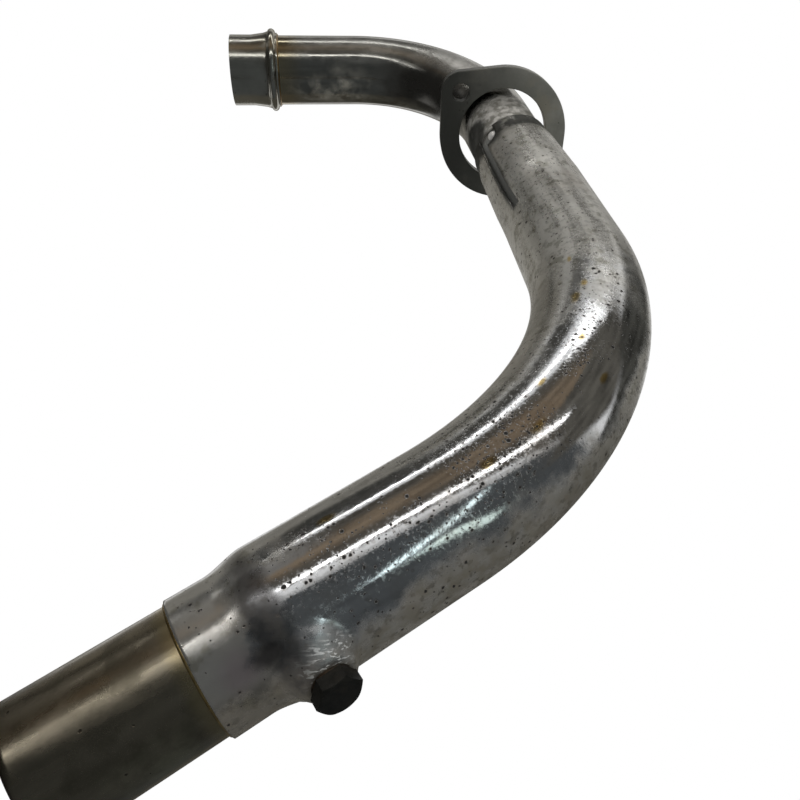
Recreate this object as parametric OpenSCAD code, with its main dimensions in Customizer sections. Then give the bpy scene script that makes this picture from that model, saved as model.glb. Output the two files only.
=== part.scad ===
// Motorcycle exhaust header: a bent steel pipe in a chromed outer pipe.
// The origin is the centre of the port mouth.
// X runs along the port axis into the pipe, and Z is up.
// The pipe is laid out as its maker bends it: straight runs, bends and twists.

/* [Pipe route] */
// Straight run from the port mouth to the first bend
run_port = 72.9; // [65:0.1:85]
// Centreline radius of the first bend
bend_a_radius = 76; // [72:1:90]
// Angle of the first bend
bend_a_angle = 84.6; // [80:0.1:90]
// Straight run below the first bend
run_down = 75.9; // [70:0.1:90]
// Turn of the second bend's plane about the pipe
bend_b_twist = -48.8; // [-60:0.1:-40]
// Centreline radius of the second, slight bend
bend_b_radius = 100; // [80:1:140]
// Angle of the second, slight bend
bend_b_angle = 10.7; // [6:0.1:14]
// Straight run between the second and third bends
run_mid = 43.1; // [35:0.1:60]
// Turn of the third bend's plane about the pipe
bend_c_twist = 60.2; // [50:0.1:70]
// Centreline radius of the third bend
bend_c_radius = 138; // [120:1:160]
// Angle of the third bend
bend_c_angle = 62.9; // [55:0.1:70]
// Straight run from the third bend to the outer pipe's lower end
run_sleeve = 78; // [70:1:95]
// Length of bare pipe past the outer pipe's lower end
run_tail = 45; // [30:1:80]

/* [Pipes] */
// Outside diameter of the inner pipe
inner_dia = 38.1; // [36:0.1:39]
// Wall of the inner pipe
inner_wall = 1.5; // [1.2:0.1:2]
// Air gap between the two pipes
air_gap = 2.25; // [1.75:0.05:3.5]
// Wall of the outer pipe
outer_wall = 1.2; // [1:0.1:1.5]
// Gap where the outer pipe's ends close on the inner pipe
end_gap = 0.05; // [0.02:0.01:0.1]

/* [Outer pipe ends] */
// Length of the closed neck at the lower end
neck_len = 11; // [8:0.5:15]
// Length of the shoulder above the neck
shoulder_len = 13; // [10:0.5:18]
// Distance of the upper rim from the end of the first bend
rim_drop = 29; // [24:1:34]
// Length of the straight rim at the upper end
rim_len = 4; // [2:0.5:6]
// Length of the swage below the rim
swage_len = 11; // [8:0.5:14]
// Rise of the outer pipe from its rim through the swage, on the radius
swage_rise = 1; // [0.7:0.1:1.4]
// Width of the slit
slit_w = 4.2; // [3:0.1:5]
// Length of the slit, from the rim
slit_len = 73; // [40:1:80]
// Place of the slit round the pipe
slit_turn = -24; // [-40:1:-10]
// Width of the notch at the rim, where the pipes are welded together
notch_w = 9.6; // [8:0.2:12]
// Depth of the notch, from the rim
notch_len = 11; // [8:0.5:14]
// Place of the notch round the pipe
notch_turn = -35; // [-45:1:-25]
// Diameter of the button weld in the notch
button_dia = 5; // [3:0.1:6]
// Place of the button weld round the pipe
button_turn = -41; // [-44:1:-35]

/* [Port ferrule] */
// Rise of the sleeve that enters the port over the inner pipe, on the radius
sleeve_rise = 0.35; // [0:0.05:0.8]
// Length of the cylindrical part of the sleeve
sleeve_len = 12; // [10:0.5:15]
// Depth of the mouth's lip, inside the inner pipe's outer face
mouth_lip = 1.65; // [1.55:0.05:2.5]
// Distance from the mouth to the pipe's end in the socket
socket_at = 14; // [12:0.5:16]
// Distance from the mouth to the middle of the bead
bead_at = 24.2; // [22:0.1:26]
// Rise of the bead over the inner pipe, on the radius
bead_rise = 3.65; // [3:0.05:4.2]
// Radius of the bead's rounding
bead_round = 2.3; // [2:0.1:2.6]
// Leg of the two seam welds
weld_leg = 0.8; // [0.6:0.1:1.1]
// Depth of the lower seam weld's root in the inner pipe
weld_root = 0.3; // [0.2:0.05:0.5]

/* [Flange] */
// Clearance of the flange's bore over the bead, on the radius
flange_slip = 1; // [0.7:0.1:1.8]
// Width of the flange's ring
ring_w = 10.75; // [9.5:0.25:12]
// Thickness of the flange
flange_t = 7.5; // [6:0.5:9]
// Distance of each stud hole's middle outside the flange's bore
stud_out = 8.5; // [7.5:0.1:10]
// Diameter of the stud holes
stud_hole = 9; // [8:0.1:10]
// Radius of the rounded lugs round the stud holes
lug_r = 10.5; // [9.5:0.1:12]
// Distance of the flange's middle from the end of the first bend
flange_drop = 7.5; // [6:0.5:9]
// Tilt of the loose flange on the pipe
flange_tilt = 19.2; // [17:0.1:20]
// Direction of that tilt round the pipe
flange_tilt_turn = -49.6; // [-60:0.1:-40]
// Turn of the flange in its own plane
flange_spin = 8.6; // [0:0.1:20]
// Gap left where the loose flange rests by the pipe
rest_gap = 0.4; // [0.3:0.05:2]
// Direction of that sideways rest round the pipe
flange_rest_turn = 135; // [130:1:140]

/* [Test plug] */
// Distance of the plug from the outer pipe's lower end
plug_at = 27.5; // [26:0.5:32]
// Place of the plug round the pipe
plug_turn = 183; // [170:1:195]
// Height of the pressed seat above the outer pipe
seat_h = 3.6; // [2.5:0.1:4.5]
// Radius of the flat top of the pressed seat
seat_r = 7.4; // [7:0.1:8.5]
// Diameter of the plug's thread
thread_dia = 8; // [6:1:10]
// Running clearance of the thread, on the radius
thread_gap = 0.05; // [0.02:0.01:0.1]
// Outside diameter of the boss
boss_dia = 11.6; // [11:0.1:12.4]
// Clearance of the boss in the outer pipe's hole, on the radius
boss_gap = 0.2; // [0.1:0.05:0.4]
// Thickness of the sealing washer
washer_t = 0.8; // [0.6:0.1:1.5]
// Width of the plug's head across its flats
head_af = 11.6; // [11:0.1:13]
// Height of the plug's head
head_h = 4.4; // [4:0.1:6]
// Height of the bevelled top of the head
head_bevel = 0.9; // [0.5:0.1:1.2]
// Length of the plug's shank below its head
shank_len = 9; // [8:0.5:11]

/* [Hidden] */
$fn = 96;
cut = 1;
lap = 0.6;
draw = 0.05;
inner_r = inner_dia / 2;
inner_bore = inner_r - inner_wall;
outer_r = inner_r + air_gap + outer_wall;
outer_dia = 2 * outer_r;
neck_r = inner_r + end_gap + outer_wall;
swage_r = neck_r + swage_rise;
root_reach = weld_leg - draw;
groove_len = weld_leg + 0.3;
sleeve_r = inner_r + sleeve_rise;
mouth_r = inner_r - mouth_lip;
bead_r = inner_r + bead_rise;
flange_r = bead_r + flange_slip;
flange_dia = 2 * (flange_r + ring_w);
stud_pitch = 2 * (flange_r + stud_out);
flange_rest = flange_r * cos(flange_tilt) - flange_t / 2 * sin(flange_tilt) - inner_r - rest_gap;
socket_r = inner_r + end_gap;
ferrule_len = bead_at + bead_round + 1;
back_r = neck_r + 0.1;
seat_top = outer_r + seat_h;
boss_top = seat_top + 0.2;
head_seat = boss_top + washer_t;
washer_r = boss_dia / 2;
bore_r = thread_dia / 2;
head_corner = head_af / sqrt(3);
steps = 8;

function ease(t) = t * t * (3 - 2 * t);

// A curve of points between two radii, easing in and out
function ease_points(z0, z1, r0, r1) =
    [for (i = [0 : steps]) [r0 + (r1 - r0) * ease(i / steps), z0 + (z1 - z0) * i / steps]];

// The outer pipe's outline from the rim to the second bend, set in by d
function upper_outline(d) = concat(
    [[neck_r - d, rim_drop]],
    ease_points(rim_drop + rim_len, rim_drop + rim_len + swage_len, neck_r - d, swage_r - d),
    [[outer_r - d, run_down - 2], [outer_r - d, run_down + lap]]);

// The outer pipe's outline from the third bend to the lower end, set in by d
function lower_outline(d) = concat(
    [[outer_r - d, -lap]],
    ease_points(run_sleeve - neck_len - shoulder_len, run_sleeve - neck_len, outer_r - d, neck_r - d),
    [[neck_r - d, run_sleeve]]);

function reversed(list) = [for (i = [len(list) - 1 : -1 : 0]) list[i]];

// Frames along the route. In each, Z runs along the pipe and X points to the bend's centre.
module at_port() {
    rotate([0, 90, 0])
        children();
}

module at_bend_a() {
    at_port()
        translate([0, 0, run_port])
            children();
}

module after_bend_a() {
    at_bend_a()
        past_bend(bend_a_radius, bend_a_angle)
            children();
}

module at_bend_b() {
    after_bend_a()
        translate([0, 0, run_down])
            rotate([0, 0, bend_b_twist])
                children();
}

module after_bend_b() {
    at_bend_b()
        past_bend(bend_b_radius, bend_b_angle)
            children();
}

module at_bend_c() {
    after_bend_b()
        translate([0, 0, run_mid])
            rotate([0, 0, bend_c_twist])
                children();
}

module after_bend_c() {
    at_bend_c()
        past_bend(bend_c_radius, bend_c_angle)
            children();
}

module past_bend(radius, angle) {
    translate([radius, 0, 0])
        rotate([0, angle, 0])
            translate([-radius, 0, 0])
                children();
}

// A straight length of pipe along Z, which laps into the bends at its ends
module run_tube(length, r_out, r_in, lap_start = lap, lap_end = lap) {
    translate([0, 0, -lap_start])
        difference() {
            cylinder(h = length + lap_start + lap_end, r = r_out);
            translate([0, 0, -cut])
                cylinder(h = length + lap_start + lap_end + 2 * cut, r = r_in);
        }
}

// A bend of pipe that starts along Z and turns towards X. Its wall is drawn very slightly thinner.
module bend_tube(radius, angle, r_out, r_in) {
    translate([radius, 0, 0])
        rotate([90, 0, 180])
            rotate_extrude(angle = angle)
                translate([radius, 0])
                    difference() {
                        circle(r = r_out - draw);
                        circle(r = r_in + draw);
                    }
}

// The frame of the test plug: Z points straight out of the pipe
module at_plug() {
    after_bend_c()
        translate([0, 0, run_sleeve - plug_at])
            rotate([0, 0, plug_turn])
                rotate([0, 90, 0])
                    children();
}

// The last straight run of the inner pipe, with a shallow groove for the lower seam weld's root
module tail_tube() {
    rotate_extrude()
        polygon([
            [inner_bore, -lap],
            [inner_r, -lap],
            [inner_r, run_sleeve],
            [inner_r - weld_root, run_sleeve],
            [inner_r - weld_root, run_sleeve + groove_len],
            [inner_r, run_sleeve + groove_len],
            [inner_r, run_sleeve + run_tail],
            [inner_bore, run_sleeve + run_tail]
        ]);
}

module inner_pipe() {
    color([0.44, 0.40, 0.35])
        difference() {
            union() {
                at_port()
                    translate([0, 0, socket_at])
                        run_tube(run_port - socket_at, inner_r, inner_bore, lap_start = 0);
                at_bend_a()
                    bend_tube(bend_a_radius, bend_a_angle, inner_r, inner_bore);
                after_bend_a()
                    run_tube(run_down, inner_r, inner_bore);
                at_bend_b()
                    bend_tube(bend_b_radius, bend_b_angle, inner_r, inner_bore);
                after_bend_b()
                    run_tube(run_mid, inner_r, inner_bore);
                at_bend_c()
                    bend_tube(bend_c_radius, bend_c_angle, inner_r, inner_bore);
                after_bend_c()
                    tail_tube();
            }
            at_plug()
                translate([0, 0, inner_bore / 2])
                    cylinder(h = inner_r, r = bore_r);
        }
}

// The ferrule's section: a sleeve, a cone, a rolled bead and a short socket wall
module ferrule_section() {
    difference() {
        union() {
            polygon([
                [mouth_r, 0],
                [sleeve_r, 0],
                [sleeve_r, sleeve_len],
                [back_r, bead_at - bead_round - 2.4],
                [bead_r - 1.2, bead_at - 1.2],
                [bead_r - bead_round, bead_at],
                [back_r, bead_at],
                [back_r, ferrule_len],
                [mouth_r, ferrule_len]
            ]);
            translate([bead_r - bead_round, bead_at])
                circle(r = bead_round);
        }
        translate([0, socket_at])
            square([socket_r, ferrule_len]);
        square([mouth_r, ferrule_len]);
    }
}

module port_ferrule() {
    color([0.55, 0.53, 0.50])
        at_port()
            rotate_extrude()
                ferrule_section();
}

// A quarter-round seam weld on a pipe, with its flat face at Z = 0
module seam_weld(r, leg) {
    rotate_extrude()
        intersection() {
            translate([r, 0])
                circle(r = leg);
            translate([r, 0])
                square([leg, leg]);
        }
}

module ferrule_weld() {
    color([0.52, 0.40, 0.24])
        at_port()
            translate([0, 0, ferrule_len])
                seam_weld(inner_r, weld_leg);
}

// The flange's outline: a ring, two lugs and the straight sides between them
module flange_outline() {
    lean = acos((flange_dia / 2 - lug_r) / (stud_pitch / 2));
    ring_p = flange_dia / 2 * [cos(lean), sin(lean)];
    lug_p = [stud_pitch / 2, 0] + lug_r * [cos(lean), sin(lean)];
    circle(r = flange_dia / 2);
    for (side = [0, 180])
        rotate(side) {
            translate([stud_pitch / 2, 0])
                circle(r = lug_r);
            polygon([
                [0, 0],
                [ring_p[0], -ring_p[1]],
                [lug_p[0], -lug_p[1]],
                lug_p,
                ring_p
            ]);
        }
}

// The loose flange lies tilted on the pipe, as it is left when it is not bolted up
module flange() {
    color([0.24, 0.24, 0.21])
        after_bend_a()
            translate([flange_rest * cos(flange_rest_turn), flange_rest * sin(flange_rest_turn), flange_drop])
                rotate([0, flange_tilt, flange_tilt_turn])
                    rotate([0, 0, flange_spin])
                        difference() {
                            translate([0, 0, -flange_t / 2])
                                linear_extrude(flange_t)
                                    flange_outline();
                            cylinder(h = flange_t + 2 * cut, r = flange_r, center = true);
                            for (side = [-1, 1])
                                translate([side * stud_pitch / 2, 0, 0])
                                    cylinder(h = flange_t + 2 * cut, d = stud_hole, center = true);
                        }
}

// The upper end: a cone, a swage and a rim that closes on the inner pipe
module upper_sleeve() {
    rotate_extrude()
        polygon(concat(upper_outline(0), reversed(upper_outline(outer_wall))));
}

// The slit that lets the rim close, and the notch for the weld between the pipes
module rim_cuts() {
    rotate([0, 0, slit_turn])
        translate([0, -slit_w / 2, rim_drop - cut])
            cube([outer_dia, slit_w, slit_len + cut]);
    rotate([0, 0, notch_turn])
        translate([0, -notch_w / 2, rim_drop - cut])
            cube([outer_dia, notch_w, notch_len - notch_w / 2 + cut]);
    rotate([0, 0, notch_turn])
        translate([0, 0, rim_drop + notch_len - notch_w / 2])
            rotate([0, 90, 0])
                cylinder(h = outer_dia, d = notch_w);
}

// The pressed seat round the plug, as a solid with its foot in the pipe, set in by d
module seat_form(d) {
    rotate_extrude()
        polygon([
            [0, outer_r / 2],
            [seat_r + 7.4 - d, outer_r / 2],
            [seat_r + 7.4 - d, outer_r - 6.2],
            [seat_r + 5.2 - d, outer_r - 2.4],
            [seat_r + 3.2 - d, outer_r - 0.2],
            [seat_r + 1.6 - d, outer_r + 1.3],
            [seat_r + 0.5 - d, seat_top - 0.5 - d],
            [seat_r - 0.4 - d, seat_top - d],
            [0, seat_top - d]
        ]);
}

// The lower end: a straight run, the pressed seat for the plug, a shoulder and a neck
module lower_sleeve() {
    difference() {
        union() {
            after_bend_c()
                rotate_extrude()
                    polygon(concat([[0, -lap]], lower_outline(0), [[0, run_sleeve]]));
            at_plug()
                seat_form(0);
        }
        after_bend_c()
            rotate_extrude()
                polygon(concat(
                    [[0, -cut], [outer_r - outer_wall, -cut]],
                    lower_outline(outer_wall),
                    [[neck_r - outer_wall, run_sleeve + cut], [0, run_sleeve + cut]]));
        at_plug()
            seat_form(outer_wall);
        at_plug()
            cylinder(h = outer_dia, r = boss_dia / 2 + boss_gap);
    }
}

module outer_pipe() {
    color([0.72, 0.73, 0.74])
        difference() {
            union() {
                after_bend_a()
                    upper_sleeve();
                at_bend_b()
                    bend_tube(bend_b_radius, bend_b_angle, outer_r, outer_r - outer_wall);
                after_bend_b()
                    run_tube(run_mid, outer_r, outer_r - outer_wall);
                at_bend_c()
                    bend_tube(bend_c_radius, bend_c_angle, outer_r, outer_r - outer_wall);
                lower_sleeve();
            }
            after_bend_a()
                rim_cuts();
        }
}

// A low domed weld on the inner pipe, in the notch of the outer pipe's rim
module button_weld() {
    color([0.30, 0.28, 0.26])
        after_bend_a()
            difference() {
                rotate([0, 0, button_turn])
                    translate([inner_r - 0.6, 0, rim_drop + notch_len * 0.52])
                        sphere(r = button_dia / 2);
                cylinder(h = run_down, r = inner_r);
            }
}

module tail_weld() {
    color([0.62, 0.50, 0.28])
        after_bend_c()
            translate([0, 0, run_sleeve]) {
                seam_weld(inner_r, weld_leg);
                rotate_extrude()
                    translate([inner_r - weld_root, 0])
                        square([weld_root + draw, root_reach]);
            }
}

// A threaded bung, saddled on the inner pipe, that stands through the outer pipe
module plug_boss() {
    color([0.40, 0.38, 0.35])
        difference() {
            at_plug()
                cylinder(h = boss_top, d = boss_dia);
            after_bend_c()
                cylinder(h = run_sleeve, r = inner_r);
            at_plug()
                cylinder(h = outer_dia, r = bore_r);
        }
}

module plug_washer() {
    color([0.25, 0.22, 0.19])
        at_plug()
            translate([0, 0, boss_top])
                difference() {
                    cylinder(h = washer_t, r = washer_r);
                    translate([0, 0, -cut])
                        cylinder(h = washer_t + 2 * cut, r = bore_r + 2 * thread_gap);
                }
}

module plug_bolt() {
    color([0.09, 0.09, 0.08])
        at_plug() {
            translate([0, 0, head_seat - shank_len])
                cylinder(h = shank_len, r = bore_r - thread_gap);
            translate([0, 0, head_seat])
                intersection() {
                    cylinder(h = head_h, r = head_corner, $fn = 6);
                    union() {
                        cylinder(h = head_h - head_bevel, r = head_corner + cut);
                        translate([0, 0, head_h - head_bevel])
                            cylinder(h = head_bevel, r1 = head_corner + 0.1, r2 = head_af / 2 - 0.4);
                    }
                }
        }
}

inner_pipe();
port_ferrule();
ferrule_weld();
flange();
outer_pipe();
button_weld();
tail_weld();
plug_boss();
plug_washer();
plug_bolt();
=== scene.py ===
"""A used motorcycle exhaust header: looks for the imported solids."""
import bmesh
import bpy
from math import atan2, cos, degrees, hypot, pi, radians, sin
from mathutils import Matrix, Vector


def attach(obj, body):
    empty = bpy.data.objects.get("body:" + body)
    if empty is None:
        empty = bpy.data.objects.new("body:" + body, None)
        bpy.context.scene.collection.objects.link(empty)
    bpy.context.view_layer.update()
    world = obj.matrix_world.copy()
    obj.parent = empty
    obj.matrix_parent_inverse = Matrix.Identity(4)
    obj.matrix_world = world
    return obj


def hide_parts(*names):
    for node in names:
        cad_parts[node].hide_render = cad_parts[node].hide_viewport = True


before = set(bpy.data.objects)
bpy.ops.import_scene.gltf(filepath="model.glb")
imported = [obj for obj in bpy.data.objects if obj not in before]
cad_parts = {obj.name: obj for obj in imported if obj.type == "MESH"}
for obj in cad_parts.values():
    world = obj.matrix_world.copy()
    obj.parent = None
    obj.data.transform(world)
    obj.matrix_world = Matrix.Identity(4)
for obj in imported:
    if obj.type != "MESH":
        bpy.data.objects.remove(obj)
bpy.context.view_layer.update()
MM = 0.001

# The route of the pipe, as its maker bends it, in millimetres and degrees
RUN_PORT, RUN_DOWN, RUN_MID, RUN_SLEEVE, RUN_TAIL = 72.9, 75.9, 43.1, 78.0, 45.0
BEND_A, BEND_B, BEND_C = (76.0, 84.6), (100.0, 10.7), (138.0, 62.9)
TWIST_B, TWIST_C = -48.8, 60.2
ROUTE = [("run", RUN_PORT, 0), ("bend", BEND_A, 0), ("run", RUN_DOWN, 0),
         ("bend", BEND_B, TWIST_B), ("run", RUN_MID, 0), ("bend", BEND_C, TWIST_C),
         ("run", RUN_SLEEVE + RUN_TAIL, 0)]

# The two pipes, in millimetres and degrees
SOCKET_AT = 14.0
INNER_R, INNER_WALL = 19.05, 1.5
OUTER_R, OUTER_WALL = 22.5, 1.2
NECK_R, NECK_LEN, SHOULDER_LEN = 20.3, 11.0, 13.0
RIM_DROP, RIM_LEN = 29.0, 4.0
SWAGE_R, SWAGE_LEN = 21.3, 11.0
SLIT_W, SLIT_LEN, SLIT_TURN = 4.2, 73.0, -24.0
NOTCH_W, NOTCH_LEN, NOTCH_TURN = 9.6, 11.0, -35.0
PLUG_AT, PLUG_TURN = 27.5, 183.0 + TWIST_B + TWIST_C

# Distances from the port mouth
BEND_A_END = RUN_PORT + BEND_A[0] * radians(BEND_A[1])
BEND_C_END = (BEND_A_END + RUN_DOWN + BEND_B[0] * radians(BEND_B[1]) + RUN_MID
              + BEND_C[0] * radians(BEND_C[1]))
SEAM = BEND_C_END + RUN_SLEEVE
RIM = BEND_A_END + RIM_DROP

# A pattern's angle round the pipe is counted from the frame's -X towards its Y.
# The pattern starts and ends at this one, on the side away from the camera.
BACK = 90.0


def turned(angle, axis):
    return Matrix.Rotation(radians(angle), 4, axis)


def frame_at(run):
    """The pipe's frame at a distance from the port mouth.

    Z runs along the pipe, and the frame never twists.
    """
    here, plane, left = turned(90, "Y"), 0.0, run
    for kind, size, twist in ROUTE:
        length = size if kind == "run" else size[0] * radians(size[1])
        step = min(left, length) if (kind, size) != ROUTE[-1][:2] else left
        plane += twist
        if kind == "run":
            here = here @ Matrix.Translation((0, 0, step))
        else:
            out = Matrix.Translation((size[0], 0, 0))
            bend = out @ turned(degrees(step / size[0]), "Y") @ out.inverted()
            here = here @ turned(plane, "Z") @ bend @ turned(-plane, "Z")
        left -= step
        if left <= 0:
            break
    return here


def in_metres(frame_mm):
    place = frame_mm.copy()
    place.translation = frame_mm.translation * MM
    return place


# The pipes' skins

def skin(runs, radius_at, segments):
    """A tube skin swept along the route: each ring is the last one extruded, moved and sized.

    The layer "where" keeps each point's share of the way round, its distance from the port
    mouth and its radius.
    """
    bm = bmesh.new()
    where = bm.verts.layers.float_vector.new("where")
    here = in_metres(frame_at(runs[0]))
    made = bmesh.ops.create_circle(bm, segments=segments, radius=radius_at(runs[0]) * MM,
                                   matrix=here)
    rings = [(runs[0], list(made["verts"]))]
    edges = list(bm.edges)
    for last, run in zip(runs, runs[1:]):
        grown = bmesh.ops.extrude_edge_only(bm, edges=edges)["geom"]
        verts = [g for g in grown if isinstance(g, bmesh.types.BMVert)]
        new = set(verts)
        edges = [g for g in grown if isinstance(g, bmesh.types.BMEdge) and set(g.verts) <= new]
        there = in_metres(frame_at(run))
        size = Matrix.Diagonal((radius_at(run) / radius_at(last),) * 2 + (1, 1))
        bmesh.ops.transform(bm, matrix=there @ size @ here.inverted(), verts=verts)
        rings.append((run, verts))
        here = there
    for run, verts in rings:
        back = in_metres(frame_at(run)).inverted()
        for v in verts:
            p = back @ v.co
            share = (180 - degrees(atan2(p.y, p.x)) - BACK) % 360 / 360
            v[where] = (share, run, p.to_2d().length / MM)
    return bm


def lay_uv(bm):
    """UV: how far round the pipe, from 0 to 1, and metres from the outer pipe's lower end."""
    where = bm.verts.layers.float_vector["where"]
    uv = bm.loops.layers.uv.new("round_and_along")
    for face in bm.faces:
        high = max(loop.vert[where][0] for loop in face.loops) > 0.75
        for loop in face.loops:
            share, run, _ = loop.vert[where]
            loop[uv].uv = (share + 1 if high and share < 0.25 else share, (SEAM - run) * MM)


def finished(name, bm, node):
    """Makes the object of a finished bmesh, which rides the body and replaces a node."""
    mesh = bpy.data.meshes.new(name)
    bm.to_mesh(mesh)
    bm.free()
    piece = bpy.data.objects.new(name, mesh)
    bpy.context.scene.collection.objects.link(piece)
    mesh.shade_smooth()
    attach(piece, "root")
    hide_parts(node)
    return piece


def finished_pipe(name, bm, node, wall):
    """Makes a pipe of its skin, with its wall inwards."""
    lay_uv(bm)
    bmesh.ops.recalc_face_normals(bm, faces=bm.faces)
    piece = finished(name, bm, node)
    solid = piece.modifiers.new("wall", "SOLIDIFY")
    solid.thickness = wall * MM
    solid.offset = -1
    solid.use_even_offset = True
    return piece


def spaced(first, last, step):
    """Even distances from the first to the last, about a step apart."""
    count = max(1, round((last - first) / step))
    return [first + (last - first) * i / count for i in range(count + 1)]


def ease(t):
    t = min(1, max(0, t))
    return t * t * (3 - 2 * t)


def outer_radius(run):
    """The chromed pipe's radius, from its rim to its neck."""
    down, up = run - BEND_A_END, SEAM - run
    swage_at = RIM_DROP + RIM_LEN
    cone_at, cone_end = swage_at + SWAGE_LEN, RUN_DOWN - 2
    if down < swage_at:
        return NECK_R
    if down < cone_at:
        return NECK_R + (SWAGE_R - NECK_R) * ease((down - swage_at) / SWAGE_LEN)
    if down < cone_end:
        return SWAGE_R + (OUTER_R - SWAGE_R) * (down - cone_at) / (cone_end - cone_at)
    if up > NECK_LEN + SHOULDER_LEN:
        return OUTER_R
    if up > NECK_LEN:
        return NECK_R + (OUTER_R - NECK_R) * ease((up - NECK_LEN) / SHOULDER_LEN)
    return NECK_R


# The seat's section: distance from the plug's axis and height above the pipe's axis
SEAT_SECTION = [(6.8, 26.1), (7.9, 25.6), (9.0, 23.8), (10.6, 22.3), (12.6, 20.1),
                (14.8, 16.3), (17.4, 8)]
SEAT_REACH, SEAT_FOOT, SEAT_BLEND = 16, 8, 1.0


def press_seat(bm):
    """Presses the seat for the plug out of the skin, with a soft foot."""
    plug = in_metres(frame_at(SEAM - PLUG_AT) @ turned(PLUG_TURN, "Z") @ turned(90, "Y"))
    back = plug.inverted()
    for v in bm.verts:
        p = back @ v.co / MM
        far = hypot(p.x, p.y)
        if p.z < SEAT_FOOT or far > SEAT_REACH:
            continue
        for (r0, h0), (r1, h1) in zip(SEAT_SECTION, SEAT_SECTION[1:]):
            if far <= r1:
                seat = h0 + (h1 - h0) * max(0, far - r0) / (r1 - r0)
                break
        rise = seat - p.z
        if abs(rise) > SEAT_BLEND:
            p.z += max(0, rise)
        else:
            p.z += (rise + SEAT_BLEND) ** 2 / (4 * SEAT_BLEND)
        v.co = plug @ (p * MM)


# Past its straight run, the straight slit leaves the bent pipe's own line by this share
SLIT_DRIFT = 0.06
# Points this near to a cut's edge are drawn to it
CATCH = 0.4


def slot_distance(x, z, width, end):
    """How far a point is outside a round-ended slot that is open at the rim."""
    return hypot(x, max(0, z - (end - width / 2))) - width / 2


def rim_distance(share, run, radius):
    """How far a point of the unrolled skin is outside the slit and the notch at the rim."""
    angle = 180 - (share * 360 + BACK)
    down = run - BEND_A_END

    def away(middle):
        return radians((angle - middle + 180) % 360 - 180) * radius

    drift = max(0, down - RUN_DOWN) * SLIT_DRIFT
    return min(slot_distance(away(SLIT_TURN) + drift, down, SLIT_W, RIM_DROP + SLIT_LEN),
               slot_distance(away(NOTCH_TURN), down, NOTCH_W, RIM_DROP + NOTCH_LEN))


def draw_to_cuts(bm):
    """Moves the skin's points near the slit and the notch onto their edges."""
    where = bm.verts.layers.float_vector["where"]
    step, share_step = 0.01, 0.01 / 60
    near = []
    for v in bm.verts:
        share, run, radius = v[where]
        gap = rim_distance(share, run, radius)
        if abs(gap) < CATCH:
            across = rim_distance(share + share_step, run, radius) - gap
            along = rim_distance(share, run + step, radius) - gap
            near.append((v, gap, across / (share_step * 2 * pi * radius), along / step))
    for v, gap, across, along in near:
        share, run, radius = v[where]
        if run > RIM + 0.1:
            run -= gap * along
        share -= gap * across / (2 * pi * radius)
        angle = radians(180 - (share * 360 + BACK))
        flat = Vector((cos(angle) * radius * MM, sin(angle) * radius * MM, 0))
        v.co = in_metres(frame_at(run)) @ flat
        v[where] = (share, run, radius)


def cut_rim(bm):
    """Opens the slit and the notch at the rim."""
    draw_to_cuts(bm)
    where = bm.verts.layers.float_vector["where"]
    gone = []
    for face in bm.faces:
        shares = [v[where][0] for v in face.verts]
        if max(shares) - min(shares) > 0.5:
            continue
        middle = [sum(v[where][i] for v in face.verts) / len(face.verts) for i in range(3)]
        if rim_distance(*middle) < 0:
            gone.append(face)
    bmesh.ops.delete(bm, geom=gone, context="FACES")
    bmesh.ops.dissolve_degenerate(bm, edges=bm.edges, dist=0.00004)


def make_outer_pipe():
    """The chromed pipe: close rings at the rim, the slit and the seat, and wider ones between."""
    notch_end, slit_end, seat_start = RIM + 16, RIM + 72, SEAM - 48
    fine, medium, coarse = 0.5, 0.8, 2.0
    runs = (spaced(RIM, notch_end, fine) + spaced(notch_end, slit_end, medium)[1:]
            + spaced(slit_end, seat_start, coarse)[1:] + spaced(seat_start, SEAM, medium)[1:])
    bm = skin(runs, outer_radius, 160)
    press_seat(bm)
    cut_rim(bm)
    return finished_pipe("outer_pipe_chromed", bm, "outer_pipe", OUTER_WALL)


def make_inner_pipe():
    """The plain steel pipe, from the ferrule's socket to the tail's end."""
    runs = spaced(SOCKET_AT, SEAM + RUN_TAIL, 2.0)
    bm = skin(runs, lambda run: INNER_R, 128)
    return finished_pipe("inner_pipe_steel", bm, "inner_pipe", INNER_WALL)


def softened(node, name, width, corner=35):
    """A merged copy of a solid with its sharp edges softened."""
    bm = bmesh.new()
    bm.from_mesh(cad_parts[node].data)
    bmesh.ops.remove_doubles(bm, verts=bm.verts, dist=2e-6)
    bmesh.ops.dissolve_limit(bm, angle_limit=radians(0.5), verts=bm.verts, edges=bm.edges)
    bmesh.ops.recalc_face_normals(bm, faces=bm.faces)
    piece = finished(name, bm, node)
    piece.data.set_sharp_from_angle(angle=radians(corner))
    if width:
        bevel = piece.modifiers.new("soft_edges", "BEVEL")
        bevel.width = width * MM
        bevel.segments = 3
        bevel.limit_method = "ANGLE"
        bevel.angle_limit = radians(corner)
        bevel.harden_normals = True
    return piece


outer = make_outer_pipe()
inner = make_inner_pipe()
flange = softened("flange", "flange_plate", 0.7)
bolt = softened("plug_bolt", "plug_screw", 0.25, 28)
washer = softened("plug_washer", "plug_ring", 0.2)
boss = softened("plug_boss", "plug_bung", 0.2)
ferrule = softened("port_ferrule", "port_sleeve", 0.15, 50)
ferrule_bead = softened("ferrule_weld", "sleeve_weld", 0, 60)
tail_bead = softened("tail_weld", "neck_weld", 0, 60)
button = softened("button_weld", "notch_weld", 0, 60)


# Node building

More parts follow.
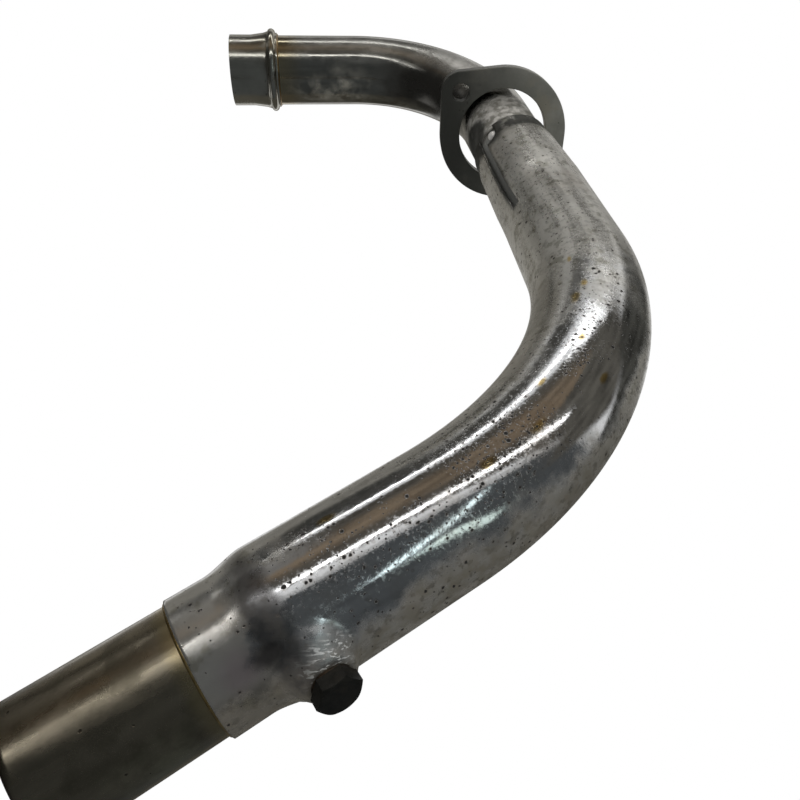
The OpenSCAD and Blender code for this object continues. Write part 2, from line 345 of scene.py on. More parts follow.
class Maker:
    """Adds nodes to a tree in a few words. A colour is given as red, green and blue."""

    def __init__(self, tree):
        self.nodes, self.links = tree.nodes, tree.links
        self.count = 0

    def add(self, kind, inputs=None, **facts):
        made = self.nodes.new(kind)
        self.count += 1
        made.location = (180 * (self.count % 12), -220 * (self.count // 12))
        for key, value in facts.items():
            setattr(made, key, value)
        for key, value in (inputs or {}).items():
            self.put(made.inputs[key], value)
        return made

    def put(self, socket, value):
        if isinstance(value, bpy.types.NodeSocket):
            self.links.new(value, socket)
        elif socket.type == "RGBA":
            socket.default_value = (*value, 1)
        else:
            socket.default_value = value

    def math(self, operation, *values):
        made = self.add("ShaderNodeMath", operation=operation)
        for socket, value in zip(made.inputs, values):
            self.put(socket, value)
        return made.outputs[0]

    def chained(self, operation, first, *others):
        for other in others:
            first = self.math(operation, first, other)
        return first

    def times(self, *values):
        return self.chained("MULTIPLY", *values)

    def plus(self, *values):
        return self.chained("ADD", *values)

    def most(self, *values):
        return self.chained("MAXIMUM", *values)

    def less(self, value, other):
        return self.math("SUBTRACT", value, other)

    def span(self, value, low, high, to_low=0.0, to_high=1.0):
        """Eases from to_low to to_high while the value goes from low to high."""
        ends = {"Value": value, "From Min": low, "From Max": high,
                "To Min": to_low, "To Max": to_high}
        made = self.add("ShaderNodeMapRange", ends, interpolation_type="SMOOTHSTEP")
        return made.outputs["Result"]

    def mix(self, factor, first, second):
        made = self.add("ShaderNodeMix", data_type="RGBA")
        self.put(made.inputs[0], factor)
        self.put(made.inputs[6], first)
        self.put(made.inputs[7], second)
        return made.outputs[2]

    def tint(self, colour, mask, strength, other):
        """Lays another colour over a colour, through a mask at a strength."""
        return self.mix(self.times(mask, strength), colour, other)

    def place(self):
        return self.add("ShaderNodeTexCoord").outputs["Object"]

    def round_and_along(self):
        """How far round the pipe, from 0 to 1, and metres from the outer pipe's lower end."""
        uv = self.add("ShaderNodeUVMap", uv_map="round_and_along").outputs[0]
        parts = self.add("ShaderNodeSeparateXYZ", {0: uv}).outputs
        return parts[0], parts[1]

    def noise(self, at, scale, detail, roughness=0.5):
        return self.add("ShaderNodeTexNoise", {"Vector": at, "Scale": scale, "Detail": detail,
                                               "Roughness": roughness}).outputs["Fac"]

    def use(self, group, **values):
        made = self.add("ShaderNodeGroup", node_tree=group)
        for key, value in values.items():
            self.put(made.inputs[key.replace("_", " ")], value)
        return made.outputs

    def pits(self, scale, share, size):
        return self.use(PITS, Scale=scale, Share=share, Size=size)

    def clouds(self, scale, low, high, detail=5.0, shift=0.0):
        return self.use(CLOUDS, Scale=scale, Detail=detail, Low=low, High=high,
                        Shift=shift)["Value"]

    def bands(self, across, along, low, high):
        return self.use(BANDS, Round=across, Along=along, Low=low, High=high)["Value"]

    def patch(self, angle, along, angle_reach, along_reach, soft, ragged):
        """A patch at an angle round the pipe and metres along it, reaching a share of the way
        round and metres along."""
        return self.use(PATCH, Turn=turn_at(angle), Along=along, Turn_Reach=angle_reach,
                        Along_Reach=along_reach, Soft=soft, Ragged=ragged)["Value"]


def turn_at(angle):
    """The share of the way round the pipe at a pattern's angle."""
    return ((angle - BACK) % 360) / 360


def new_group(name, inputs, outputs):
    """A shader node group with named inputs and outputs."""
    tree = bpy.data.node_groups.new(name, "ShaderNodeTree")
    for key, value in inputs.items():
        socket = tree.interface.new_socket(key, in_out="INPUT", socket_type="NodeSocketFloat")
        socket.default_value = value
    for key in outputs:
        tree.interface.new_socket(key, in_out="OUTPUT", socket_type="NodeSocketFloat")
    make = Maker(tree)
    given = make.add("NodeGroupInput").outputs
    return tree, make, given, make.add("NodeGroupOutput").inputs


def build_pits():
    """Round pits in patches: each cell of a pattern holds one pit or none."""
    tree, make, given, out = new_group(
        "rust_pits", {"Scale": 400.0, "Share": 0.3, "Size": 0.3}, ["Mask", "Ring"])
    at = make.place()
    bend = make.add("ShaderNodeTexNoise", {"Vector": at, "Scale": 900.0, "Detail": 2.0})
    moved = make.add("ShaderNodeVectorMath", {0: bend.outputs["Color"], 1: (0.0007,) * 3},
                     operation="MULTIPLY").outputs[0]
    spot = make.add("ShaderNodeVectorMath", {0: at, 1: moved}, operation="ADD").outputs[0]
    cells = make.add("ShaderNodeTexVoronoi", {"Vector": spot, "Scale": given["Scale"]})
    lot = make.add("ShaderNodeSeparateColor", {0: cells.outputs["Color"]}).outputs
    chosen = make.math("LESS_THAN", lot[0], given["Share"])
    size = make.times(given["Size"], make.plus(make.times(lot[1], 0.8), 0.25))
    edge = make.math("DIVIDE", cells.outputs["Distance"], size)
    make.put(out["Mask"], make.times(make.span(edge, 1.0, 0.72), chosen))
    make.put(out["Ring"], make.times(make.span(edge, 2.1, 1.0), chosen))
    return tree


def build_clouds():
    """Cloudy patches, as a value from 0 to 1."""
    tree, make, given, out = new_group(
        "cloudy_patches", {"Scale": 60.0, "Detail": 5.0, "Low": 0.4, "High": 0.6, "Shift": 0.0},
        ["Value"])
    shift = make.add("ShaderNodeCombineXYZ", {0: given["Shift"], 1: given["Shift"]}).outputs[0]
    at = make.add("ShaderNodeVectorMath", {0: make.place(), 1: shift}, operation="ADD").outputs[0]
    cloud = make.noise(at, given["Scale"], given["Detail"], 0.6)
    make.put(out["Value"], make.span(cloud, given["Low"], given["High"]))
    return tree


def build_patch():
    """A soft patch at a place round and along the pipe, with a ragged edge."""
    tree, make, given, out = new_group(
        "placed_patch", {"Turn": 0.5, "Along": 0.1, "Turn Reach": 0.1, "Along Reach": 0.02,
                         "Soft": 0.5, "Ragged": 0.3}, ["Value"])
    turn, along = make.round_and_along()
    across = make.math("DIVIDE", make.less(turn, given["Turn"]), given["Turn Reach"])
    along = make.math("DIVIDE", make.less(along, given["Along"]), given["Along Reach"])
    away = make.math("SQRT", make.plus(make.times(across, across), make.times(along, along)))
    rag = make.less(make.noise(make.place(), 180.0, 4.0), 0.5)
    away = make.plus(away, make.times(rag, given["Ragged"]))
    make.put(out["Value"], make.span(away, 1.0, make.less(1.0, given["Soft"])))
    return tree


def build_bands():
    """Uneven bands that run along the pipe, as a value from 0 to 1."""
    tree, make, given, out = new_group(
        "long_bands", {"Round": 10.0, "Along": 8.0, "Low": 0.35, "High": 0.65}, ["Value"])
    turn, along = make.round_and_along()
    angle = make.times(turn, 2 * pi)
    spot = make.add("ShaderNodeCombineXYZ", {
        0: make.times(make.math("COSINE", angle), given["Round"]),
        1: make.times(make.math("SINE", angle), given["Round"]),
        2: make.times(along, given["Along"])}).outputs[0]
    cloud = make.noise(spot, 1.0, 3.0, 0.55)
    make.put(out["Value"], make.span(cloud, given["Low"], given["High"]))
    return tree


PITS, CLOUDS, PATCH, BANDS = build_pits(), build_clouds(), build_patch(), build_bands()


def material(name, roughness, metallic=1.0):
    made = bpy.data.materials.new(name)
    made.use_nodes = True
    made.node_tree.nodes.clear()
    make = Maker(made.node_tree)
    surface = make.add("ShaderNodeBsdfPrincipled", {"Roughness": roughness, "Metallic": metallic})
    out = make.add("ShaderNodeOutputMaterial")
    make.links.new(surface.outputs[0], out.inputs["Surface"])
    return made, make, surface


def bumped(make, surface, height, distance):
    bump = make.add("ShaderNodeBump", {"Height": height, "Distance": distance})
    make.put(surface.inputs["Normal"], bump.outputs[0])


# The chromed pipe's material

CLEAN_CHROME = (0.56, 0.565, 0.57)
HAZE_DARK, HAZE_LIGHT = (0.33, 0.315, 0.275), (0.74, 0.72, 0.66)
# the second neck colour is painted shade for the neck's underside
NECK_GREY, NECK_UNDERSIDE_SHADE = (0.36, 0.35, 0.325), (0.13, 0.125, 0.108)
UNDER_DARK, UNDER_LIGHT = (0.19, 0.178, 0.152), (0.38, 0.36, 0.31)
# the colour of the painted shade on the inner side
INNER_SIDE_SHADE = (0.20, 0.185, 0.15)
GRIME, GRIT, SOIL = (0.20, 0.19, 0.14), (0.08, 0.075, 0.06), (0.20, 0.18, 0.14)
# the third colour here darkens the shoulder ring, partly as a painted dark reflection
BROWN_FILM, PINK_HEAT, HEAT_AND_REFLECTION_DARK = (0.42, 0.36, 0.29), (0.33, 0.27, 0.29), (0.055, 0.052, 0.052)
# this dark colours soot and the painted shade at the rim
SOOT_AND_PAINTED_SHADE = (0.035, 0.036, 0.032)
GOLD = (0.42, 0.30, 0.09)
PIT_HALO, PIT_BLACK = (0.22, 0.18, 0.14), (0.018, 0.016, 0.014)
BARE_SCRATCH = (0.70, 0.72, 0.70)

# Each gold spot's angle round the pipe, metres along it, and reach round and along
GOLD_SPOTS = [
    (250, 0.172, 0.017, 0.0045), (255, 0.181, 0.012, 0.003), (284, 0.111, 0.015, 0.004),
    (281, 0.092, 0.012, 0.0035), (250, 0.047, 0.013, 0.004), (300, 0.140, 0.011, 0.0035),
    (262, 0.125, 0.009, 0.003), (240, 0.200, 0.009, 0.003), (268, 0.150, 0.010, 0.003)]


def haze_masks(make, turn, along):
    """The haze over the upper straight, on the neck, underneath, and everywhere together."""
    drift = make.less(make.clouds(45.0, 0.25, 0.75, shift=1.3), 0.5)
    ragged = make.plus(along, make.times(drift, 0.035))
    upper = make.span(ragged, 0.165, 0.205)
    neck = make.span(ragged, 0.026, 0.016)
    side = make.span(make.plus(turn, make.times(drift, 0.05)), turn_at(256), turn_at(240))
    side = make.times(side, make.span(along, 0.05, 0.16, 0.35, 0.8))
    under = make.span(make.plus(turn, make.times(drift, 0.08)), turn_at(318), turn_at(342))
    under = make.times(under, make.span(turn, turn_at(62), turn_at(28)))
    haze = make.most(upper, side, make.times(neck, 0.85), make.times(under, 0.75))
    return upper, neck, under, haze


def rim_soot_and_painted_shade(make, along):
    """Painted shade on the band round the rim, a darkening along the slit, and soot with painted
    shade round the notch.
    """
    # painted shade: the band round the rim is darkened
    band = make.times(make.span(along, 0.3262, 0.3292), make.clouds(85.0, 0.30, 0.46, shift=3.0))
    slit = make.patch(204, 0.300, 0.030, 0.045, 0.5, 0.4)
    notch = make.patch(210, 0.334, 0.12, 0.0125, 0.4, 0.4)
    return make.most(band, slit, notch)


def pit_masks(make, dense, worn):
    """The pits and the halos round them, most of them on the bend and the lower run."""
    zone = make.patch(268, 0.100, 0.15, 0.12, 0.8, 0.5)
    share = make.plus(make.times(dense, make.plus(make.times(zone, 0.72), 0.18)), 0.05,
                      make.times(worn, 0.2))
    tiny = make.pits(1050.0, make.times(share, 1.1), 0.36)
    small = make.pits(600.0, share, 0.35)
    large = make.pits(330.0, make.times(share, 0.26), 0.27)
    return (make.most(small["Mask"], tiny["Mask"], large["Mask"]),
            make.most(small["Ring"], large["Ring"]))


def scratch_mask(make):
    """Fine scratches that run one way, on the seat's upper side."""
    drawn = make.add("ShaderNodeMapping", {"Vector": make.place(), "Rotation": (0.4, 0.9, 0.2),
                                           "Scale": (260, 1500, 1500)}).outputs[0]
    lines = make.span(make.noise(drawn, 1.0, 2.0), 0.54, 0.62)
    return make.times(make.patch(331, 0.0295, 0.055, 0.010, 0.8, 0.8), lines)


def chrome_material():
    """Worn chrome: hazed, tinted by heat, soiled, pitted and scratched."""
    made, make, surface = material("worn_chrome", 0.12)
    turn, along = make.round_and_along()
    upper, neck, under, haze = haze_masks(make, turn, along)

    # haze, mottled light and dark in bands along the pipe
    streaks = make.bands(5.0, 26.0, 0.36, 0.64)
    tone = make.plus(make.times(make.clouds(70.0, 0.35, 0.68), 0.15),
                     make.times(make.bands(1.7, 6.0, 0.36, 0.6), 0.5), make.times(streaks, 0.28))
    hazy = make.mix(tone, HAZE_DARK, HAZE_LIGHT)
    colour = make.tint(CLEAN_CHROME, haze, 0.85, hazy)
    colour = make.tint(colour, neck, 0.75, NECK_GREY)
    # painted shade: the neck is darkened towards its underside
    neck_underside_shade = make.times(make.span(along, 0.034, 0.022),
                           make.span(turn, turn_at(318), turn_at(342)))
    colour = make.tint(colour, neck_underside_shade, 0.8, NECK_UNDERSIDE_SHADE)
    below = make.mix(make.span(along, 0.11, 0.15), UNDER_DARK, UNDER_LIGHT)
    colour = make.tint(colour, under, 0.7, below)

    # painted shade on the inner side, then dirt over the haze and underneath
    # painted shade: the inner side is darkened
    inner_side_shade = make.patch(210, 0.178, 0.06, 0.05, 0.9, 0.6)
    colour = make.tint(colour, inner_side_shade, 0.6, INNER_SIDE_SHADE)
    grime = make.times(make.clouds(170.0, 0.53, 0.64, detail=8.0, shift=2.1), haze)
    colour = make.tint(colour, grime, 0.6, GRIME)
    grit = make.times(make.clouds(330.0, 0.53, 0.61, detail=6.0, shift=1.1),
                      make.most(under, make.times(upper, 0.45)))
    colour = make.tint(colour, grit, 0.6, GRIT)

    # a thin brown film in patches, and heat tint round the shoulder; its dark ring is partly heat
    # stain and partly a painted dark reflection
    film = make.clouds(28.0, 0.5, 0.72, shift=0.2)
    colour = make.tint(colour, film, 0.35, BROWN_FILM)
    colour = make.tint(colour, make.patch(312, 0.010, 0.06, 0.009, 0.9, 0.5), 0.6, PINK_HEAT)
    blotch = make.patch(311, 0.018, 0.045, 0.008, 0.8, 0.6)
    # partly heat stain, partly a painted dark reflection on the shoulder
    heat_ring_and_dark_reflection = make.patch(290, 0.021, 0.22, 0.0075, 0.6, 0.7)
    colour = make.tint(colour, make.most(blotch, make.times(heat_ring_and_dark_reflection, 0.85)), 0.92, HEAT_AND_REFLECTION_DARK)

    # soil under the lower run, soot with painted shade at the rim, and gold spots
    soil = make.times(make.patch(355, 0.075, 0.11, 0.11, 0.8, 0.6),
                      make.clouds(160.0, 0.38, 0.6, shift=0.7))
    colour = make.tint(colour, soil, 0.75, SOIL)
    rim_soot_and_shade = rim_soot_and_painted_shade(make, along)
    colour = make.tint(colour, rim_soot_and_shade, 0.88, SOOT_AND_PAINTED_SHADE)
    spots = make.most(*[make.patch(*spot, 0.7, 1.2) for spot in GOLD_SPOTS])
    colour = make.tint(colour, spots, 0.85, GOLD)

    # pits and scratches
    dense = make.clouds(34.0, 0.40, 0.60, detail=6.0, shift=0.9)
    worn = make.patch(266, 0.172, 0.07, 0.022, 0.7, 0.6)
    pit, halo = pit_masks(make, dense, worn)
    colour = make.tint(colour, halo, 0.3, PIT_HALO)
    colour = make.mix(pit, colour, PIT_BLACK)
    scratch = scratch_mask(make)
    colour = make.tint(colour, scratch, 0.75, BARE_SCRATCH)
    make.put(surface.inputs["Base Color"], colour)

    # roughness: the haze, the film, and dust in specks where the pits crowd
    fine = make.clouds(420.0, 0.38, 0.62, shift=0.4)
    rubbed = make.patch(327, 0.030, 0.075, 0.0135, 0.7, 0.8)
    dust = make.times(make.clouds(900.0, 0.52, 0.66, detail=3.0, shift=1.7),
                      make.plus(make.times(dense, 0.75), 0.25), make.less(1.0, neck))
    dull = make.times(haze, make.plus(make.times(streaks, 0.13), 0.17),
                      make.less(1.0, make.times(neck, 0.4)))
    rough = make.plus(make.times(fine, 0.05), 0.05, dull)
    for mask, strength in ((worn, 0.14), (rubbed, 0.3), (dust, 0.2), (soil, 0.3), (film, 0.06),
                           (make.most(heat_ring_and_dark_reflection, blotch), 0.2)):
        rough = make.plus(rough, make.times(mask, strength))
    rough = make.most(rough, make.times(scratch, 0.45), make.times(rim_soot_and_shade, 0.5),
                      make.times(pit, 0.8))
    make.put(surface.inputs["Roughness"], rough)

    crust = make.most(make.times(pit, 0.9), make.times(under, 0.5), make.times(scratch, 0.7),
                      make.times(make.most(upper, neck), 0.16))
    make.put(surface.inputs["Metallic"], make.less(1.0, crust))
    wave = make.noise(make.place(), 45.0, 2.0)
    height = make.plus(make.less(make.times(wave, 0.22), make.times(pit, 0.25)),
                       make.times(scratch, 0.2), make.times(fine, 0.03))
    bumped(make, surface, height, 0.00022)
    return made


# The inner pipe's material

TAIL_DARK, TAIL_LIGHT, TAIL_GRIME = (0.17, 0.15, 0.11), (0.31, 0.27, 0.205), (0.105, 0.095, 0.066)
PORT_DARK, PORT_LIGHT = (0.23, 0.225, 0.20), (0.38, 0.37, 0.335)
MATT_DARK, MATT_LIGHT = (0.34, 0.325, 0.30), (0.52, 0.505, 0.47)
FROST_DARK, FROST_LIGHT = (0.22, 0.215, 0.195), (0.40, 0.39, 0.36)
# the first colour here is painted shade under the port end
PORT_UNDERSIDE_SHADE, OLIVE = (0.035, 0.033, 0.03), (0.36, 0.34, 0.275)
MOSS, DIRT = (0.40, 0.38, 0.27), (0.15, 0.13, 0.10)
COVERED_GREY = (0.13, 0.13, 0.12)
ASH_DARK, ASH_LIGHT = (0.24, 0.23, 0.20), (0.58, 0.56, 0.52)
STRAW = (0.42, 0.34, 0.18)
STEEL_PIT = (0.05, 0.04, 0.03)


def steel_material():
    """The inner pipe: bronze at the tail, with painted shade below it by the flange, darker and
    glossy at the port.
    """
    made, make, surface = material("heated_steel", 0.3)
    _, along = make.round_and_along()
    cloud = make.clouds(50.0, 0.3, 0.7)
    tone = make.plus(make.times(cloud, 0.4), make.times(make.bands(3.0, 12.0, 0.3, 0.7), 0.6))
    grubby = make.clouds(105.0, 0.46, 0.68, detail=7.0, shift=5.1)
    tail = make.tint(make.mix(tone, TAIL_DARK, TAIL_LIGHT), grubby, 0.55, TAIL_GRIME)
    port = make.mix(tone, PORT_DARK, PORT_LIGHT)
    colour = make.mix(make.span(along, 0.10, 0.20), tail, port)

    # the port end: matt by the flange, frosted on top, with painted shade and olive below
    matt = make.patch(262, 0.412, 0.13, 0.045, 0.8, 0.5)
    matt_grey = make.mix(make.clouds(150.0, 0.35, 0.65, shift=2.6), MATT_DARK, MATT_LIGHT)
    colour = make.tint(colour, matt, 0.8, matt_grey)
    frost = make.bands(2.2, 42.0, 0.42, 0.62)
    top = make.patch(262, 0.465, 0.16, 0.07, 0.6, 0.5)
    colour = make.tint(colour, top, 0.75, make.mix(frost, FROST_DARK, FROST_LIGHT))
    # painted shade on the underside of the port end by the flange
    port_underside_shade = make.patch(190, 0.412, 0.19, 0.066, 0.6, 0.5)
    colour = make.tint(colour, port_underside_shade, 0.88, PORT_UNDERSIDE_SHADE)
    olive = make.times(make.patch(176, 0.49, 0.13, 0.035, 0.9, 0.7),
                       make.clouds(85.0, 0.38, 0.66, shift=3.4))
    colour = make.tint(colour, olive, 0.6, OLIVE)

    # what the outer pipe covers, the ash ring beyond its rim, and one side beyond the rim darkened
    # partly by burning and partly by painted shade
    covered = make.times(make.span(along, 0.002, 0.004), make.span(along, 0.338, 0.332))
    colour = make.mix(covered, colour, COVERED_GREY)
    band = make.times(make.span(along, 0.336, 0.339), make.span(along, 0.366, 0.358))
    colour = make.mix(band, colour, make.mix(make.clouds(220.0, 0.4, 0.62, shift=0.3),
                                             ASH_DARK, ASH_LIGHT))
    # partly burn, partly painted shade just beyond the rim
    burn_and_rim_shade = make.patch(186, 0.345, 0.115, 0.014, 0.35, 0.4)
    colour = make.tint(colour, burn_and_rim_shade, 0.9, SOOT_AND_PAINTED_SHADE)

    # straw tint by the seams, moss green and dirt, and a few pits
    by_neck = make.times(make.span(along, -0.006, -0.0005), make.span(along, 0.004, 0.001))
    straw = make.most(make.span(along, 0.508, 0.5235), by_neck)
    colour = make.tint(colour, straw, 0.55, STRAW)
    moss = make.times(make.patch(348, -0.014, 0.10, 0.03, 0.9, 0.7),
                      make.clouds(75.0, 0.36, 0.64, shift=4.2))
    colour = make.tint(colour, moss, 0.6, MOSS)
    dirt = make.times(make.patch(150, 0.47, 0.10, 0.06, 0.8, 0.8),
                      make.clouds(130.0, 0.45, 0.62, shift=0.8))
    colour = make.tint(colour, dirt, 0.8, DIRT)
    pit = make.pits(430.0, 0.05, 0.25)["Mask"]
    colour = make.tint(colour, pit, 0.8, STEEL_PIT)
    make.put(surface.inputs["Base Color"], colour)

    dull = make.most(band, burn_and_rim_shade, make.times(port_underside_shade, 0.35), matt)
    rough = make.plus(make.span(along, 0.30, 0.36, 0.2, 0.06), make.times(cloud, 0.06),
                      make.times(make.most(frost, grubby), 0.11), make.times(dull, 0.22))
    make.put(surface.inputs["Roughness"], make.most(rough, make.times(covered, 0.7)))
    crust = make.most(make.times(make.most(dull, make.times(top, 0.6)), 0.45),
                      make.times(covered, 0.9), make.times(olive, 0.5))
    make.put(surface.inputs["Metallic"], make.less(1.0, crust))
    grain = make.noise(make.place(), 700.0, 3.0)
    bumped(make, surface, make.less(make.times(grain, 0.3), pit), 0.00006)
    return made


# The other pieces' materials

def plain_steel(name, dark, light, tint, roughness, scale=180.0, bump=0.00008, metallic=1.0,
                shade=None):
    """Steel with cloudy tone, tinted patches, a few pits and a fine grain.

    A shade is a place of full shade, a place of none, and the shade's colour.
    """
    made, make, surface = material(name, roughness, metallic)
    cloud = make.clouds(scale, 0.32, 0.68)
    patch = make.clouds(scale * 0.45, 0.5, 0.66, shift=0.6)
    colour = make.tint(make.mix(cloud, dark, light), patch, 0.6, tint)
    if shade:
        start, end, deep = shade
        way = end - start
        from_start = make.add("ShaderNodeVectorMath", {0: make.place(), 1: tuple(start)},
                              operation="SUBTRACT").outputs[0]
        run = make.add("ShaderNodeVectorMath", {0: from_start, 1: tuple(way / way.length_squared)},
                       operation="DOT_PRODUCT").outputs["Value"]
        run = make.plus(run, make.times(make.less(patch, 0.5), 0.12))
        colour = make.mix(make.span(run, 0.0, 1.0), deep, colour)
    pit = make.pits(500.0, 0.08, 0.3)["Mask"]
    colour = make.tint(colour, pit, 0.7, (0.03, 0.027, 0.023))
    make.put(surface.inputs["Base Color"], colour)
    make.put(surface.inputs["Roughness"], make.plus(make.times(cloud, 0.14), roughness - 0.06))
    grain = make.noise(make.place(), 900.0, 4.0)
    bumped(make, surface, make.less(make.times(grain, 0.6), pit), bump)
    return made


def flange_material():
    """Oxidised plate, in the pipe's shade at the lug with the stud hole in view."""
    middle = Vector((0.15047, 0.0012, -0.0762))
    across = Vector((0.9802, -0.19, -0.0763)).normalized() * 0.034
    return plain_steel("oxidised_plate", (0.25, 0.25, 0.22), (0.36, 0.355, 0.315),
                       (0.29, 0.265, 0.205), 0.38, 70.0, metallic=0.45,
                       shade=(middle - across, middle + across, (0.045, 0.046, 0.04)))


def dress(piece, made):
    piece.data.materials.clear()
    piece.data.materials.append(made)


dress(outer, chrome_material())
dress(inner, steel_material())
dress(flange, flange_material())
dress(bolt, plain_steel("black_oxide", (0.009, 0.009, 0.007), (0.020, 0.019, 0.016),
                        (0.034, 0.028, 0.019), 0.5, 260.0, metallic=0.6))
dress(washer, plain_steel("crushed_ring", (0.05, 0.045, 0.04), (0.11, 0.09, 0.07),
                          (0.13, 0.09, 0.06), 0.6))
dress(boss, plain_steel("bung_steel", (0.10, 0.09, 0.08), (0.25, 0.23, 0.20),
                        (0.18, 0.13, 0.09), 0.5))
dress(ferrule, plain_steel("warm_sleeve", (0.40, 0.39, 0.34), (0.52, 0.505, 0.45),
                           (0.42, 0.38, 0.29), 0.2, 40.0, 0.00002))
dress(ferrule_bead, plain_steel("straw_weld", (0.30, 0.20, 0.09), (0.42, 0.30, 0.15),
                                (0.22, 0.14, 0.07), 0.35))
dress(tail_bead, plain_steel("brass_weld", (0.40, 0.28, 0.11), (0.58, 0.44, 0.20),
                             (0.25, 0.17, 0.08), 0.32, 240.0))
dress(button, plain_steel("button_weld_steel", (0.55, 0.53, 0.50), (0.80, 0.78, 0.75),
                          (0.5, 0.45, 0.38), 0.3, metallic=0.5))


# Camera, light and floor

scene = bpy.context.scene
scene.view_settings.view_transform = "Standard"
EYE = Vector((45.75, -189.74, -436.99)) * MM
LOOK = Vector((0.1057, 0.7484, 0.6548)).normalized()
RIGHT = LOOK.cross(Vector((0.0488, -0.6616, 0.7482))).normalized()
UP = RIGHT.cross(LOOK).normalized()
MIDDLE = EYE + LOOK * 0.29
FLOOR_Z = -0.8


def set_camera():
    data = bpy.data.cameras.new("camera")
    data.sensor_width = 36
    data.lens = 31.5
    data.clip_start = 0.01
    camera = bpy.data.objects.new("camera", data)
    camera.matrix_world = Matrix((RIGHT, UP, -LOOK)).transposed().to_4x4()
    camera.location = EYE
    scene.collection.objects.link(camera)
    scene.camera = camera


def toward(side, height, far):
    """A place seen from the middle of the object: degrees to the camera's right of the way back
    to the camera, degrees up in the picture, and metres."""
    flat = cos(radians(height)) * far
    rise = sin(radians(height)) * far
    return (MIDDLE + RIGHT * (sin(radians(side)) * flat) + UP * rise
            - LOOK * (cos(radians(side)) * flat))


def facing_middle(place, roll):
    """Z looks at the object's middle and Y is up in the picture, rolled."""
    z = (MIDDLE - place).normalized()
    x = (UP.cross(z) if abs(UP.dot(z)) < 0.97 else RIGHT - z * RIGHT.dot(z)).normalized()
    axes = Matrix((x, z.cross(x), z)).transposed().to_4x4()
    return Matrix.Translation(place) @ axes @ turned(roll, "Z")


def area_light(name, place, width, height, radiance, roll=0.0, glossy=True):
    """A rectangular lamp whose face is as bright as stated."""
    data = bpy.data.lights.new(name, "AREA")
    data.shape = "RECTANGLE"
    data.size, data.size_y = width, height
    data.energy = radiance * pi * width * height
    lamp = bpy.data.objects.new(name, data)
    lamp.matrix_world = facing_middle(place, roll) @ turned(180, "Y")
    lamp.visible_glossy = glossy
    scene.collection.objects.link(lamp)


def flat_mesh(name, size, matrix):
    """An object of one square face, with its UV."""
    bm = bmesh.new()
    bm.loops.layers.uv.new("card")
    bmesh.ops.create_grid(bm, x_segments=1, y_segments=1, size=size, calc_uvs=True, matrix=matrix)
    mesh = bpy.data.meshes.new(name)
    bm.to_mesh(mesh)
    bm.free()
    made = bpy.data.objects.new(name, mesh)
    scene.collection.objects.link(made)
    return made


def card_paint(name, width, height, shade, soft, uneven):
    """A glow that is cloudy by a share, and fades out over a width at its edges."""
    paint = bpy.data.materials.new(name + "_card")
    paint.use_nodes = True
    paint.node_tree.nodes.clear()
    make = Maker(paint.node_tree)
    uv = make.add("ShaderNodeUVMap", uv_map="card").outputs[0]
    part = make.add("ShaderNodeSeparateXYZ", {0: uv}).outputs
    fades = []
    for t, size in ((part[0], width), (part[1], height)):
        inset = make.times(make.math("MINIMUM", t, make.less(1.0, t)), size)
        fades.append(make.span(inset, 0.0, min(soft, size * 0.45)))
    spot = make.add("ShaderNodeVectorMath", {0: uv, 1: (width * 6, height * 6, 1)},
                    operation="MULTIPLY").outputs[0]
    cloud = make.less(make.noise(spot, 1.0, 3.0), 0.5)
    strength = make.plus(make.times(cloud, uneven * 2), 1.0)
    glow = make.add("ShaderNodeEmission", {"Color": shade, "Strength": strength}).outputs[0]
    clear = make.add("ShaderNodeBsdfTransparent").outputs[0]
    both = make.add("ShaderNodeMixShader", {0: make.times(*fades), 1: clear, 2: glow}).outputs[0]
    make.add("ShaderNodeOutputMaterial", {"Surface": both})
    return paint


def card(name, place, width, height, shade, roll=0.0, soft=0.12, uneven=0.5, flat=False):
    """A soft-edged studio card that only reflections see. Its brightness is stated."""
    aim = Matrix.Translation(place) if flat else facing_middle(place, roll)
    made = flat_mesh(name, 0.5, aim @ Matrix.Diagonal((width, height, 1, 1)))
    made.data.materials.append(card_paint(name, width, height, shade, soft, uneven))
    made.visible_camera = False
    made.visible_shadow = False
    made.visible_diffuse = False


def lay_floor():
    floor = flat_mesh("floor", 6.0, Matrix.Translation((0, 0, FLOOR_Z)))
    paint, make, surface = material("pale_floor", 0.9, 0.0)
    make.put(surface.inputs["Base Color"], (0.8, 0.8, 0.79))
    floor.data.materials.append(paint)


def set_world():
    """A white studio, a little dimmer as a light than it looks."""
    world = bpy.data.worlds.new("studio")
    scene.world = world
    world.use_nodes = True
    world.node_tree.nodes.clear()
    make = Maker(world.node_tree)
    path = make.add("ShaderNodeLightPath").outputs
    seen = make.most(path["Is Camera Ray"], path["Is Glossy Ray"], path["Is Transmission Ray"])
    strength = make.plus(make.times(seen, 0.25), 0.75)
    sky = make.add("ShaderNodeBackground", {"Color": (1, 1, 1), "Strength": strength}).outputs[0]
    make.add("ShaderNodeOutputWorld", {"Surface": sky})


def over_floor(rise, right):
    """A place above the floor, to the right of the object's middle."""
    return Vector((MIDDLE.x, MIDDLE.y, FLOOR_Z + rise)) + RIGHT * right


set_camera()
lay_floor()
set_world()

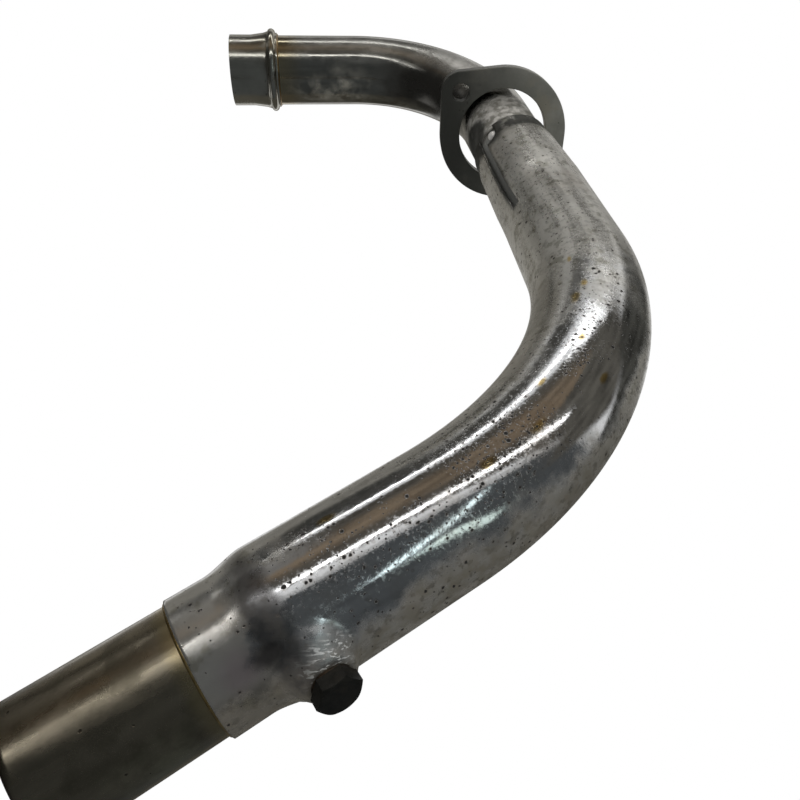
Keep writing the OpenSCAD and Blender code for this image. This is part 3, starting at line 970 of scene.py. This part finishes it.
area_light("long_strip", toward(7, 42, 0.9), 1.55, 0.05, 5.0, roll=-6)
area_light("overhead_strip", MIDDLE + UP * 1.0 + RIGHT * 0.02 + LOOK * 0.04, 1.2, 0.022, 7.0)
area_light("high_window", toward(86, 72, 1.0), 0.1, 0.2, 1.6)
area_light("soft_key", toward(-60, 50, 1.2), 0.8, 0.8, 0.6, glossy=False)

card("table", over_floor(0.006, 0), 6.0, 6.0, (0.085, 0.092, 0.096), flat=True)
card("table_right", over_floor(0.012, 1.3), 1.9, 3.0, (0.20, 0.185, 0.16), soft=0.5, flat=True)
card("table_left", over_floor(0.010, -1.6), 2.6, 4.0, (0.035, 0.035, 0.033), soft=0.5, flat=True)
card("dusk_wall", toward(0, 64, 1.35), 4.2, 1.25, (0.10, 0.09, 0.075), soft=0.05, uneven=0.8)
card("brown_wall", toward(8, 66, 1.2), 2.3, 0.6, (0.22, 0.17, 0.12), soft=0.2, uneven=1.0)
card("dark_back", MIDDLE + UP * 1.05 + LOOK * 0.33 - RIGHT * 0.1, 1.9, 0.5, (0.07, 0.068, 0.062))
card("left_wall", toward(-92, 12, 1.3), 2.6, 1.45, (0.045, 0.045, 0.042))
card("left_glow", toward(-64, 58, 1.15), 0.7, 0.4, (0.26, 0.25, 0.235), soft=0.15)
card("right_wall", toward(76, 36, 1.3), 1.0, 1.6, (0.115, 0.108, 0.093), soft=0.2, uneven=1.2)
card("right_side", toward(114, 9, 1.1), 1.0, 1.65, (0.06, 0.059, 0.052), uneven=1.6)
card("far_left", toward(-150, 32, 1.3), 2.4, 1.5, (0.26, 0.25, 0.225), soft=0.25, uneven=0.8)
card("left_post", toward(-119, 53, 1.15), 0.75, 0.6, (0.05, 0.05, 0.046))
card("below_back", toward(178, -33, 1.3), 3.4, 1.6, (0.11, 0.105, 0.09), soft=0.2, uneven=0.8)
card("far_right", toward(160, 30, 1.5), 2.2, 1.6, (0.55, 0.54, 0.52), soft=0.5, uneven=0.8)
card("narrow_window", toward(27, 4, 0.8), 0.05, 0.56, (2.4, 2.85, 2.9), 12, soft=0.02)
card("tilted_window", toward(35, -14, 0.8), 0.3, 0.38, (1.4, 1.68, 1.6), 24, soft=0.04,
     uneven=1.4)
card("dim_window", toward(28, -16, 0.85), 0.34, 0.3, (0.19, 0.235, 0.22), 10, uneven=1.2)
